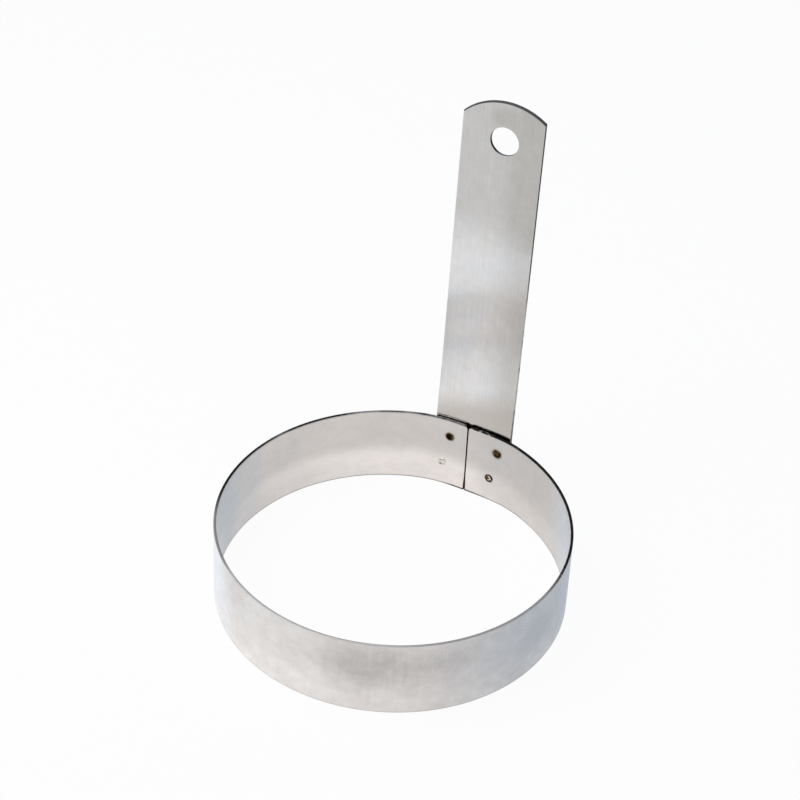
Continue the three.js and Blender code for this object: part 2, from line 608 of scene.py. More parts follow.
@dataclass(frozen=True)
class WeldPlace:
    """Where one spot weld sits, by its angle from +Y and its height, and how it looks."""

    node: str
    angle: float
    height: float
    look: WeldLook

    def centre(self, sizes: RingSizes) -> Vector:
        """The weld's middle, half way through the two sheets."""
        radius = sizes.seat_radius(self.angle) - sizes.band_thickness + sizes.stack / 2
        x, y = radius * math.sin(self.angle), sizes.axis_y + radius * math.cos(self.angle)
        return Vector((x, y, self.height))


def weld_places(sizes: RingSizes) -> list[WeldPlace]:
    """Where the spot welds sit, row by row.

    Args:
        sizes: the ring's sizes.

    Returns:
        The four places.
    """
    places = []
    for (row, side), look in WELD_LOOKS.items():
        across = sizes.weld_shift + side.value * sizes.weld_spacing / 2 + row.value * sizes.weld_skew
        height = sizes.height / 2 + sizes.weld_raise + row.value * sizes.weld_row_spacing / 2
        node = f"spot_weld_{row.name.lower()}_{side.name.lower()}"
        places.append(WeldPlace(node, across / sizes.outside_radius, height, look))
    return places


@dataclass(frozen=True)
class Ease:
    """A level that eases into another over a range of some value, and holds outside it."""

    low: float
    high: float
    before: float = 0.0
    after: float = 1.0

    def at(self, value: Sock) -> Sock:
        """The level where the value stands."""
        return value.ramp(self.low, self.high, self.before, self.after)


@dataclass(frozen=True)
class Grain:
    """Noise about 0 on a strip: features to a millimetre along and across, seed, octaves and strength."""

    along: float
    across: float
    seed: float
    detail: float = 4.0
    strength: float = 1.0
    ROUGHNESS = 0.6

    def at(self, kit: NodeKit, along: Sock, across: Sock) -> Sock:
        """The noise at a place on the strip, within half its strength either way."""
        place = kit.vector(along * self.along, across * self.across, self.seed)
        return (kit.noise(place, 1.0, self.detail, self.ROUGHNESS) - 0.5) * self.strength


@dataclass(frozen=True)
class Patch:
    """A duller, darker patch: its middle and half sizes on the strip, in millimetres."""

    along: float
    across: float
    half_length: float
    half_width: float
    strength: float
    INNER = -0.1
    OUTER = 1.3

    def mask(self, along: Sock, across: Sock, ragged: Sock) -> Sock:
        """The patch, from 0 to its strength, with a ragged border.

        Args:
            along: millimetres along the strip.
            across: millimetres across the strip.
            ragged: noise about 0 that moves the border in and out.

        Returns:
            The patch's share at each point.
        """
        aside = (along - self.along) / self.half_length
        above = (across - self.across) / self.half_width
        reach = (aside * aside + above * above).sqrt() + ragged
        return reach.ramp(self.INNER, self.OUTER, self.strength, 0.0)


class Face(Enum):
    """The two faces of the rolled band."""

    INSIDE = 0
    OUTSIDE = 1


@dataclass(frozen=True)
class Arc:
    """A stretch of the band about a turn from the front, in degrees, that fades out to both sides."""

    turn: float
    full_within: float
    gone_beyond: float
    strength: float = 1.0

    def share(self, turn: Sock) -> Sock:
        """The arc's share, from 0 to its strength, at an angle round the ring in radians."""
        gone, full = (math.cos(math.radians(angle)) for angle in (self.gone_beyond, self.full_within))
        return (turn - math.radians(self.turn)).cos().ramp(gone, full, 0.0, self.strength)


@dataclass(frozen=True)
class PaintedReflection:
    """A painted reflection: a tint over one face of the band over an arc, in place of the light and shade
    that the steel mirrors there.
    """

    face: Face
    arc: Arc
    tint: Colour

    def lay(self, colour: Sock, turn: Sock, outside: Sock, strength: Operand) -> Sock:
        """Lays the painted reflection over a colour.

        Args:
            colour: the steel's colour so far.
            turn: the angle round the ring, in radians.
            outside: 1 on the outer face, 0 on the inner.
            strength: how much of the painted reflection is left at each point.

        Returns:
            The filmed colour.
        """
        on_face = outside if self.face is Face.OUTSIDE else 1 - outside
        return colour.kit.mix_colour(self.arc.share(turn) * on_face * strength, colour, self.tint)


@dataclass(frozen=True)
class SurfacePoint:
    """What a steel finish reads at a point of the surface, with lengths in millimetres."""

    kit: NodeKit
    place: Sock
    x: Sock
    y: Sock
    z: Sock
    normal_x: Sock
    normal_y: Sock
    normal_z: Sock

    @classmethod
    def of(cls, kit: NodeKit) -> "SurfacePoint":
        """Adds the nodes that read the point's place and normal.

        Args:
            kit: the material's nodes.

        Returns:
            The point.
        """
        place = kit.add("ShaderNodeTexCoord", output="Object")
        normal = kit.add("ShaderNodeNewGeometry", output="Normal")
        x, y, z = (part / MM for part in kit.split(place))
        return cls(kit, place, x, y, z, *kit.split(normal))


@dataclass(frozen=True)
class Steel:
    """A satin mill finish: what the band's steel and the handle's have in common."""

    name: str
    base: Colour = (0.90, 0.868, 0.838)
    cool: Colour = (0.86, 0.875, 0.895)
    # Dull steel that is also painted darker: painted shade and reflection as well as a duller finish.
    dull_shaded: Colour = (0.66, 0.64, 0.61)
    # The rims are painted grey, darker than the faces: painted dark reflection.
    cut_edge: Colour = (0.40, 0.40, 0.41)
    # Painted black: painted shade and dark reflection on the rims, in the gap just above the handle's foot
    # and on one side of the hanging hole.
    shade_black: Colour = (0.010, 0.010, 0.010)
    # Painted shade, dark brown: in the seam, on its ends and beside it inside, and on the handle's foot
    # hidden behind the band.
    seam_shade: Colour = (0.030, 0.023, 0.019)
    straw: Colour = (0.50, 0.39, 0.24)
    brown: Colour = (0.14, 0.085, 0.045)
    heat_blue: Colour = (0.60, 0.65, 0.70)
    heat_ragged: float = 0.5
    heat_noise: float = 900.0
    blue_reach: float = 4.0
    blue_share: float = 0.22
    straw_start: float = 0.8
    straw_share: float = 0.6
    brown_start: float = 0.9
    brown_spread: float = 0.45
    roughness: float = 0.2
    dull_roughness: float = 0.1
    edge_roughness: float = 0.5
    line_roughness: float = 0.08
    line_height: float = 0.000005

    def start(self) -> SurfacePoint:
        """Opens an empty material and reads the surface point."""
        return SurfacePoint.of(NodeKit.fresh(bpy.data.materials.new(self.name)))

    def heat_tint(
        self, point: SurfacePoint, colour: Sock, sizes: RingSizes, welds: Sequence[WeldPlace]
    ) -> Sock:
        """Lays the heat tint of the welds over a colour: brown at the rim, then straw, then blue.

        Args:
            point: the surface point.
            colour: the steel's colour so far.
            sizes: the ring's sizes.
            welds: the welds and their halos.

        Returns:
            The tinted colour.
        """
        kit = point.kit
        ragged = (kit.noise(point.place, self.heat_noise, 2.0) - 0.5) * self.heat_ragged
        edge = sizes.weld_radius / MM
        for weld in welds:
            away = self._from_axis(point, weld, sizes) + ragged
            tint = weld.look.tint
            spread = weld.look.halo
            ring = away.ramp(edge + spread, edge + self.blue_reach, tint * self.blue_share, 0.0)
            halo = away.ramp(edge * self.straw_start, edge + spread, tint * self.straw_share, 0.0)
            burn = away.ramp(edge * self.brown_start, edge + self.brown_spread * spread, tint, 0.0)
            colour = kit.mix_colour(ring, colour, self.heat_blue)
            colour = kit.mix_colour(halo, colour, self.straw)
            colour = kit.mix_colour(burn, colour, self.brown)
        return colour

    @staticmethod
    def _from_axis(point: SurfacePoint, weld: WeldPlace, sizes: RingSizes) -> Sock:
        """Millimetres from a weld's axis, which runs outward through the sheets, or from its ends.

        Args:
            point: the surface point.
            weld: the weld.
            sizes: the ring's sizes.

        Returns:
            The distance.
        """
        kit = point.kit
        outward = (math.sin(weld.angle), math.cos(weld.angle), 0.0)
        away = kit.vector_math("SUBTRACT", point.place, weld.centre(sizes))
        off_axis = kit.vector_math("CROSS_PRODUCT", away, outward)
        beside = kit.vector_math("LENGTH", off_axis, output="Value")
        beyond = abs(kit.vector_math("DOT_PRODUCT", away, outward, output="Value"))
        return beside.most(beyond - sizes.stack) / MM

    def finish(
        self, point: SurfacePoint, colour: Sock, dullness_and_shade: Sock, edge: Sock, lines: Sock, form: Operand = 0.0
    ) -> bpy.types.Material:
        """Ends the material: roughness, fine lines and the shader.

        Args:
            point: the surface point.
            colour: the finished colour.
            dullness_and_shade: 1 where the steel is dull and where shade is painted on; it raises the
                roughness.
            edge: 1 on a sheared edge.
            lines: noise about 0 of the rolling lines.
            form: height of a slight bow, in metres.

        Returns:
            The material.
        """
        rough = self.roughness + dullness_and_shade * self.dull_roughness + lines * self.line_roughness
        rough = rough + edge * (self.edge_roughness - self.roughness)
        inputs = {"Strength": 1.0, "Distance": 1.0, "Height": lines * self.line_height + form}
        return point.kit.metal(colour, rough, point.kit.add("ShaderNodeBump", {}, inputs))


@dataclass(frozen=True)
class BandPoint:
    """A surface point's place on the rolled strip, with lengths in millimetres.

    The turn is from the front, in radians. Along is from opposite the seam. Across goes from 0 on
    the inner face to 1 on the outer, rise from 0 at the foot to 1 at the rim.
    """

    turn: Sock
    along: Sock
    across: Sock
    rise: Sock
    behind: Sock
    outside: Sock
    from_seam: Sock
    OUTWARD = Ease(-0.2, 0.2)

    @classmethod
    def of(cls, point: SurfacePoint, sizes: RingSizes) -> "BandPoint":
        """Works out the place.

        Args:
            point: the surface point.
            sizes: the ring's sizes.

        Returns:
            The place.
        """
        behind = point.y - sizes.axis_y / MM
        turn = (-point.x).arctan2(-behind)
        along = (turn - sizes.seam_angle).wrap(math.pi, -math.pi) * (sizes.outside_radius / MM)
        radius = (point.x * point.x + behind * behind).sqrt()
        outside = cls.OUTWARD.at((point.normal_x * point.x + point.normal_y * behind) / radius)
        pressed = ((math.pi - abs(turn)) / sizes.press_half_angle).least(1.0)
        dip = (1 + (pressed * math.pi).cos()) * (sizes.press_depth / 2)
        across = (radius * MM + dip - sizes.outside_radius) / sizes.band_thickness + 1
        from_seam = math.pi * sizes.outside_radius / MM - abs(along)
        return cls(turn, along, across, point.z / (sizes.height / MM), behind, outside, from_seam)


@dataclass(frozen=True)
class BandSteel(Steel):
    """The band's steel: lines round the inside, upright streaks outside, painted reflections and shade, and
    rims painted black in runs as shade and dark reflection.

    A pair of depths or shares is for the inside and the outside.
    """

    # Dull steel, painted darker as painted shade and reflection.
    dull_shaded: Colour = (0.57, 0.54, 0.515)
    # The inner face is painted lighter and warmer than the outer: painted reflection of the lit floor inside
    # the ring.
    inside_lit: Colour = (0.93, 0.875, 0.84)
    rim_pale: Colour = (0.45, 0.45, 0.45)
    # Painted contact shade: a thin dark line along the foot where the band meets the floor.
    foot_shade: Colour = (0.11, 0.105, 0.10)
    # Painted shade: the outer face a little darker and warmer at the front right.
    front_right_shade: PaintedReflection = PaintedReflection(Face.OUTSIDE, Arc(-36.0, 10.0, 40.0, 0.7), (0.85, 0.80, 0.765))
    # Painted reflections and shade: tints over arcs of the band, bluish and darker on the right, pale on the
    # left, in place of the light and shade that the steel mirrors.
    painted_reflections: tuple[PaintedReflection, ...] = (
        PaintedReflection(Face.OUTSIDE, Arc(-112.0, 20.0, 78.0), (0.53, 0.56, 0.60)),
        PaintedReflection(Face.OUTSIDE, Arc(-110.0, 2.0, 22.0, 0.9), (0.465, 0.54, 0.63)),
        PaintedReflection(Face.OUTSIDE, Arc(70.0, 20.0, 40.0), (0.90, 0.93, 0.99)),
        PaintedReflection(Face.OUTSIDE, Arc(9.0, 6.0, 20.0, 0.3), (0.95, 0.925, 0.885)),
        PaintedReflection(Face.INSIDE, Arc(-130.0, 14.0, 60.0), (0.62, 0.59, 0.57)),
        PaintedReflection(Face.INSIDE, Arc(-112.0, 8.0, 32.0), (0.61, 0.66, 0.715)),
        PaintedReflection(Face.INSIDE, Arc(96.0, 6.0, 34.0, 0.36), (0.62, 0.60, 0.585)),
        PaintedReflection(Face.INSIDE, Arc(85.0, 2.0, 20.0, 0.45), (0.57, 0.615, 0.665)),
        PaintedReflection(Face.INSIDE, Arc(75.0, 3.0, 14.0, 0.8), (0.575, 0.625, 0.68)),
        PaintedReflection(Face.INSIDE, Arc(50.0, 8.0, 20.0, 0.5), (0.97, 0.96, 0.94)),
    )
    reflection_rise: Ease = Ease(0.0, 0.6, 0.6, 1.0)
    # Darker, duller patches on the outer face, mostly in its upper half.
    dark_patches: tuple[Patch, ...] = (
        Patch(-16.0, 16.5, 12.0, 10.0, 0.9),
        Patch(-33.0, 16.0, 17.0, 10.0, 0.65),
        Patch(-43.0, 21.0, 9.0, 5.0, 0.45),
        Patch(-64.0, 21.0, 9.0, 6.0, 0.5),
        Patch(-2.0, 14.0, 8.0, 6.0, 0.1),
    )
    # Runs of painted black along the rims: painted shade and dark reflection.
    black_runs: tuple[Arc, ...] = (
        Arc(-145.0, 38.0, 72.0, 1.1),
        Arc(-70.0, 20.0, 48.0, 0.3),
        Arc(54.0, 12.0, 21.0, 0.4),
        Arc(88.0, 5.0, 34.0, 1.05),
        Arc(124.0, 6.0, 20.0, 1.05),
        Arc(146.0, 10.0, 24.0, 0.4),
        Arc(151.0, 2.0, 7.0, 0.75),
        Arc(176.0, 13.0, 20.0, 1.1),
    )
    flecked_run: Arc = Arc(-176.0, 2.5, 5.0)
    flecked: Ease = Ease(0.02, 0.1, 0.0, 0.55)
    bare_run: Arc = Arc(170.0, 6.0, 8.0)
    bare: Ease = Ease(0.12, 0.3, 0.0, 0.95)
    bare_lean: float = 0.5
    round_lines: Grain = Grain(0.02, 2.4, 1.0, 5.0)
    streaks: Grain = Grain(2.2, 0.07, 2.0, 5.0, 0.9)
    mottle: Grain = Grain(0.3, 0.34, 3.0)
    ragged: Grain = Grain(0.6, 0.1, 4.0, 4.0, 0.8)
    uneven: Grain = Grain(1.5, 1.0, 5.0, 3.0, 1.2)
    clouds: Grain = Grain(0.07, 0.1, 6.0)
    wander: Grain = Grain(0.03, 0.0, 7.0, 2.0, 0.16)
    breaks: Grain = Grain(0.7, 2.0, 8.0, 2.0)
    cloudy: Grain = Grain(0.16, 0.2, 9.0, 4.0, 1.6)
    line_shares: tuple[float, float] = (1.0, 0.4)
    cloud_depths: tuple[float, float] = (0.2, 0.36)
    mottle_depths: tuple[float, float] = (0.16, 0.26)
    line_depth: float = 0.12
    cool_clouds: Ease = Ease(-0.0909, 0.2727, 0.0, 0.4)
    # Painted reflected shade: the upper half of the inner face darker, and the outer face darker towards the
    # top.
    shade_inside_upper: Ease = Ease(0.32, 0.54, 0.0, 0.6)
    shade_outside_top: Ease = Ease(0.05, 0.75, 0.0, 0.44)
    # Painted shade in the seam: a dark strip beside it on the inner face, wider towards the foot.
    seam_shade_reach: Ease = Ease(2.0, 6.0, 0.31, 0.15)
    seam_shade_border: Ease = Ease(-0.15, 0.0, 1.0, 0.0)
    # Painted contact shade along the foot: stronger inside than outside, stronger and higher next to the
    # seam.
    foot_shade_shares: tuple[float, float] = (0.75, 0.35)
    foot_shade_by_seam: Ease = Ease(14.0, 40.0, 0.25, 0.0)
    foot_shade_near_seam: Ease = Ease(2.0, 10.0, 1.0, 0.0)
    foot_shade_rise: float = 0.45
    near_seam_rise: float = 0.81
    foot_shade_solid: float = 0.4
    rim_slope: Ease = Ease(0.15, 0.45)
    end_slope: Ease = Ease(0.5, 0.8)
    back_half: Ease = Ease(0.0, 1.0)
    rim_across: Ease = Ease(0.35, 0.75)
    # Painted black on the inner lip just under the rim.
    black_lip: Ease = Ease(-0.65, -0.26)
    lip_turn: Ease = Ease(-0.5, 0.0, 1.0, 0.5)

    def material(self, sizes: RingSizes, welds: Sequence[WeldPlace]) -> bpy.types.Material:
        """Builds the finish.

        Args:
            sizes: the ring's sizes.
            welds: the welds, for their heat tint.

        Returns:
            The material.
        """
        point = self.start()
        band = BandPoint.of(point, sizes)
        lines = self.round_lines.at(point.kit, band.along, point.z) * mixed(*self.line_shares, band.outside)
        lines = lines + self.streaks.at(point.kit, band.along, point.z) * band.outside
        dullness_and_shade = self._dullness_and_shade(point, band)
        colour = self._sheet(point, band, dullness_and_shade, lines)
        colour = self.heat_tint(point, colour, sizes, welds)
        colour = self._seam_and_foot_shade(point, band, colour, sizes)
        rims, ends = self._edges(point, band)
        edge = rims.most(ends)
        # The rims are painted black in runs: painted shade and dark reflection.
        shade_black = self._black_share(point, band)
        # The rims painted grey, paler towards the outer face: painted dark reflection.
        rim = point.kit.mix_colour(self.rim_across.at(band.across), self.cut_edge, self.rim_pale)
        rim = point.kit.mix_colour(shade_black, rim, self.shade_black)
        # The seam's ends take the painted seam shade.
        rim = point.kit.mix_colour(ends, rim, self.seam_shade)
        # The painted black runs on onto the inner lip just under the rim.
        lip = self.black_lip.at(point.z - sizes.height / MM) * (1 - band.outside)
        lip = lip * shade_black * self.lip_turn.at(band.turn)
        colour = point.kit.mix_colour(edge.most(lip), colour, rim)
        return self.finish(point, colour, dullness_and_shade, edge, lines)

    def _dullness_and_shade(self, point: SurfacePoint, band: BandPoint) -> Sock:
        """How dull the steel is and how much shade is painted on it: painted reflected shade on the upper
        half inside and towards the top outside, and darker, duller patches outside.

        Args:
            point: the surface point.
            band: its place on the strip.

        Returns:
            The dullness and painted shade, from 0 to 1.
        """
        ragged = self.ragged.at(point.kit, band.along, point.z)
        patches = sum(patch.mask(band.along, point.z, ragged) for patch in self.dark_patches)
        cloudy = 1 + self.cloudy.at(point.kit, band.along, point.z)
        inside = self.shade_inside_upper.at(band.rise + self.wander.at(point.kit, band.along, point.z))
        outside = 1 - (1 - self.shade_outside_top.at(band.rise)) * (1 - patches * cloudy)
        return mixed(inside, outside, band.outside).share()

    def _sheet(self, point: SurfacePoint, band: BandPoint, dullness_and_shade: Sock, lines: Sock) -> Sock:
        """The sheet's colour with its clouds, its dull patches and painted shade, its painted reflections
        and its lines.

        Args:
            point: the surface point.
            band: its place on the strip.
            dullness_and_shade: how dull the steel is and how much shade is painted on it.
            lines: noise about 0 of the rolling lines.

        Returns:
            The colour.
        """
        kit = point.kit
        clouds = self.clouds.at(kit, band.along, point.z)
        mottle = self.mottle.at(kit, band.along, point.z)
        # The inner face painted lighter and warmer as painted reflection.
        colour = kit.mix_colour(band.outside, self.inside_lit, self.base)
        colour = kit.mix_colour(self.cool_clouds.at(clouds) * band.outside, colour, self.cool)
        # Painted shade at the front right of the outer face.
        colour = self.front_right_shade.lay(colour, band.turn, band.outside, 1.0)
        colour = kit.mix_colour(dullness_and_shade, colour, self.dull_shaded)
        # Painted reflections and shade over arcs of both faces, weaker low down.
        reflection_share = self.reflection_rise.at(band.rise)
        for reflection in self.painted_reflections:
            colour = reflection.lay(colour, band.turn, band.outside, reflection_share)
        cloud_depth = mixed(*self.cloud_depths, band.outside)
        mottle_depth = mixed(*self.mottle_depths, band.outside)
        return kit.scale(colour, 1 + clouds * cloud_depth + mottle * mottle_depth + lines * self.line_depth)

    def _seam_and_foot_shade(self, point: SurfacePoint, band: BandPoint, colour: Sock, sizes: RingSizes) -> Sock:
        """Lays painted shade over a colour: in the seam on the inner face, and as contact shade in a thin
        line along the foot.

        Args:
            point: the surface point.
            band: its place on the strip.
            colour: the steel's colour so far.
            sizes: the ring's sizes.

        Returns:
            The colour with its painted shade.
        """
        kit = point.kit
        half_gap = mixed(sizes.seam_foot_gap, sizes.seam_gap, 0.5) / 2 / MM
        reach = self.seam_shade_reach.at(point.z) + half_gap
        # Painted shade beside the seam on the inner face.
        seam_dark = self.seam_shade_border.at(band.from_seam - reach) * (1 - band.outside)
        colour = kit.mix_colour(seam_dark, colour, self.seam_shade)
        # Painted contact shade along the foot, higher and in the seam's colour next to the seam.
        near_seam = self.foot_shade_near_seam.at(band.from_seam)
        rise = mixed(self.foot_shade_rise, self.near_seam_rise, near_seam)
        share = mixed(*self.foot_shade_shares, band.outside) + self.foot_shade_by_seam.at(band.from_seam)
        foot = point.z.ramp(rise * self.foot_shade_solid, rise, 1.0, 0.0) * share
        return kit.mix_colour(foot, colour, kit.mix_colour(near_seam, self.foot_shade, self.seam_shade))

    def _edges(self, point: SurfacePoint, band: BandPoint) -> tuple[Sock, Sock]:
        """Finds the sheared edges by the way that they face.

        Args:
            point: the surface point.
            band: its place on the strip.

        Returns:
            1 on the rims, and 1 on the two ends at the seam.
        """
        rims = self.rim_slope.at(abs(point.normal_z))
        round_way = abs(point.normal_x * band.turn.cos() - point.normal_y * band.turn.sin())
        return rims, self.end_slope.at(round_way) * self.back_half.at(band.behind)

    def _black_share(self, point: SurfacePoint, band: BandPoint) -> Sock:
        """1 where the rim is painted black as shade and dark reflection: in runs, uneven here and there,
        flecked and bare beside the seam.

        Args:
            point: the surface point.
            band: its place on the strip.

        Returns:
            The painted black's share, from 0 to 1.
        """
        black: Operand = 0.0
        for run in self.black_runs:
            black = run.share(band.turn).most(black)
        uneven = self.uneven.at(point.kit, band.along, point.z)
        breaks = self.breaks.at(point.kit, band.along, band.across)
        flecks = self.flecked.at(breaks) * self.flecked_run.share(band.turn)
        bare = self.bare.at(breaks + band.across * self.bare_lean) * self.bare_run.share(band.turn)
        return (black * (1 + uneven)).least(1.0) * (1 - flecks.most(bare))


@dataclass(frozen=True)
class StrapSteel(Steel):
    """The handle's steel: lines along the strip, painted reflected shade in bands across it, painted black
    shade where it meets the band.
    """

    base: Colour = (0.89, 0.875, 0.86)
    cool: Colour = (0.86, 0.88, 0.915)
    # Dull steel, painted darker as painted shade and reflection.
    dull_shaded: Colour = (0.555, 0.537, 0.508)
    # The sheared edges painted near black: painted dark reflection.
    cut_edge: Colour = (0.085, 0.085, 0.09)
    # Painted highlight on the sheared sides, in runs.
    edge_highlight: Colour = (0.55, 0.54, 0.52)
    hole_edge: Colour = (0.22, 0.22, 0.22)
    # Darker and warmer just above the rim, fading upwards with a ragged border.
    foot_tone: Colour = (0.57, 0.52, 0.475)
    roughness: float = 0.13
    lines: Grain = Grain(0.04, 2.2, 11.0, 5.0)
    clouds: Grain = Grain(0.07, 0.08, 12.0)
    spread: Grain = Grain(0.2, 0.16, 13.0, 4.0, 3.0)
    mottle: Grain = Grain(0.34, 0.3, 14.0)
    breaks: Grain = Grain(0.8, 2.5, 15.0, 2.0)
    side_runs: Grain = Grain(0.3, 0.05, 16.0, 2.0)
    cloud_depth: float = 0.12
    mottle_depth: float = 0.2
    line_depth: float = 0.24
    cool_clouds: Ease = Ease(-0.1364, 0.2273)
    cloud_dullness: float = 0.2
    # Painted shade: the right half of the strip darker than the left, a little less so higher up.
    shade_left: float = 0.06
    shade_right: Ease = Ease(58.0, 74.0, 0.7, 0.5)
    shade_from: float = -2.0
    # Painted reflected shade in two bands towards the top of the strip, tilted a little across it.
    shade_bands: tuple[Ease, ...] = (Ease(58.0, 82.0, 0.0, 0.15), Ease(83.0, 103.0, 0.0, 0.55))
    band_tilt: float = 0.1
    patchy: Patch = Patch(7.0, 0.0, 4.0, 5.0, 0.35)
    ragged: float = 0.1
    foot_tone_above_rim: Ease = Ease(4.0, 15.0, 0.8, 0.0)
    foot_tone_tilt: float = 0.33
    foot_tone_spread: float = 0.8
    front: Ease = Ease(-0.6, -0.2, 1.0, 0.0)
    # Painted shade where the strip meets the band: black in the gap just above the rim, dark brown on the
    # foot hidden below it, broken in patches.
    black_height: Ease = Ease(-11.0, 0.0, 0.24, 0.8)
    black_fade: Ease = Ease(0.25, 1.0, 1.0, 0.0)
    black_breaks: Ease = Ease(0.1, 0.2, 1.0, 0.35)
    black_below_rim: Ease = Ease(-2.0, 0.0)
    edge_slope: Ease = Ease(0.55, 0.93, 1.0, 0.0)
    # Painted shadow on one side of the hanging hole's wall.
    hole_shadow_slope: Ease = Ease(0.2, 0.6)
    round_hole: Ease = Ease(1.0, 2.0, 1.0, 0.0)
    # Painted highlight in runs on the sheared sides below the middle, less near the foot.
    side_highlight: Ease = Ease(-0.2, 0.0, 0.25)
    side_highlight_below: Ease = Ease(66.0, 86.0, 1.0, 0.0)
    side_dark_by_foot: Ease = Ease(34.0, 42.0, 0.14, 0.0)
    crown_lip: Ease = Ease(-0.45, -0.225)
    crown_half: Ease = Ease(0.0, 3.0)
    bow: tuple[float, float] = (36.0, 90.0)
    bow_middle: float = 62.0
    bow_slope: float = math.tan(math.radians(1.22))
    bow_curve: float = 0.0013

    def material(self, sizes: RingSizes, welds: Sequence[WeldPlace]) -> bpy.types.Material:
        """Builds the finish.

        Args:
            sizes: the ring's sizes.
            welds: the welds, for their heat tint.

        Returns:
            The material.
        """
        point = self.start()
        kit = point.kit
        lines = self.lines.at(kit, point.z, point.x)
        clouds = self.clouds.at(kit, point.z, point.x)
        mottle = self.mottle.at(kit, point.z, point.x)
        spread = self.spread.at(kit, point.z, point.x)
        dullness_and_shade = self._dullness_and_shade(point, sizes, spread, clouds)
        colour = kit.mix_colour(self.cool_clouds.at(clouds), self.base, self.cool)
        colour = kit.mix_colour(dullness_and_shade, colour, self.dull_shaded)
        shade = 1 + clouds * self.cloud_depth + mottle * self.mottle_depth + lines * self.line_depth
        colour = kit.scale(colour, shade)
        above_rim = point.z - sizes.height / MM
        # Darker and warmer just above the rim.
        foot = self.foot_tone_above_rim.at(above_rim - point.x * self.foot_tone_tilt + spread * self.foot_tone_spread)
        colour = kit.mix_colour(foot, colour, self.foot_tone)
        colour = self.heat_tint(point, colour, sizes, welds)
        front = self.front.at(point.normal_y)
        # Painted shade where the strip meets the band, on its inner face.
        hidden = (above_rim + spread * self.ragged) / self.black_height.at(point.x)
        patchy = self.black_breaks.at(self.breaks.at(kit, point.x, point.z))
        behind = kit.mix_colour(self.black_below_rim.at(above_rim), self.seam_shade, self.shade_black)
        colour = kit.mix_colour(self.black_fade.at(hidden) * front * patchy, colour, behind)
        edge = self.edge_slope.at(abs(point.normal_y)).most(self._crown_lip(point, sizes))
        colour = kit.mix_colour(edge, colour, self._edge_colour(point, sizes))
        return self.finish(point, colour, dullness_and_shade, edge, lines, self._bow(point) * front)

    @staticmethod
    def _above_hole(point: SurfacePoint, sizes: RingSizes) -> Sock:
        """Millimetres above the middle of the hanging hole."""
        return point.z - (sizes.strap_top - sizes.hole_setback) / MM

    def _dullness_and_shade(self, point: SurfacePoint, sizes: RingSizes, spread: Sock, clouds: Sock) -> Sock:
        """How dull the steel is and how much shade is painted on it: painted shade to the right, painted
        reflected shade in bands towards the top, and a patch above the hole.

        Args:
            point: the surface point.
            sizes: the ring's sizes.
            spread: noise about 0 that makes the bands' borders ragged.
            clouds: noise about 0 of broad clouds.

        Returns:
            The dullness and painted shade, from 0 to 1.
        """
        half_width = sizes.strap_width / 2 / MM
        across = point.x.ramp(self.shade_from, half_width, self.shade_left, self.shade_right.at(point.z))
        height = point.z + spread - point.x * self.band_tilt
        upper = sum(band.at(height) for band in self.shade_bands)
        uneven = self.patchy.mask(self._above_hole(point, sizes), point.x, spread * self.ragged)
        return (across + upper + uneven + clouds * self.cloud_dullness).share()

    def _edge_colour(self, point: SurfacePoint, sizes: RingSizes) -> Sock:
        """The sheared edge's colour: painted dark, with painted highlights in runs below the middle and
        painted shadow on one side of the hole's wall.

        Args:
            point: the surface point.
            sizes: the ring's sizes.

        Returns:
            The colour.
        """
        kit = point.kit
        runs = self.side_runs.at(kit, point.z, point.x) - self.side_dark_by_foot.at(point.z)
        # Painted highlight in runs on the sheared sides.
        bright = self.side_highlight.at(runs) * self.side_highlight_below.at(point.z)
        side = kit.mix_colour(bright, self.cut_edge, self.edge_highlight)
        # Painted shadow on one side of the hole's wall, painted grey elsewhere in it.
        hole_wall = kit.mix_colour(self.hole_shadow_slope.at(point.normal_x), self.hole_edge, self.shade_black)
        radius = sizes.hole_radius / MM
        in_hole = self.round_hole.at(abs(point.x) - radius)
        in_hole = in_hole * self.round_hole.at(self._above_hole(point, sizes) - radius)
        return kit.mix_colour(in_hole, side, hole_wall)

    def _bow(self, point: SurfacePoint) -> Sock:
        """The slight bow along the strip: a slope that grows towards the top.

        Args:
            point: the surface point.

        Returns:
            The bow's height, in metres.
        """
        low, high = self.bow
        place = point.z.most(low).least(high)
        from_middle = place - self.bow_middle
        return -(place * self.bow_slope + from_middle * from_middle * (self.bow_curve / 2)) * MM

    def _crown_lip(self, point: SurfacePoint, sizes: RingSizes) -> Sock:
        """1 on the narrow lip that the shears drew over along the cropped end, painted dark as the edges
        are.

        Args:
            point: the surface point.
            sizes: the ring's sizes.

        Returns:
            The lip's share, from 0 to 1.
        """
        aside = point.x - sizes.crown_offset / MM
        above = point.z - (sizes.strap_top - sizes.crown_radius) / MM
        reach = (aside * aside + above * above).sqrt() - sizes.crown_radius / MM
        return self.crown_lip.at(reach) * self.crown_half.at(above)


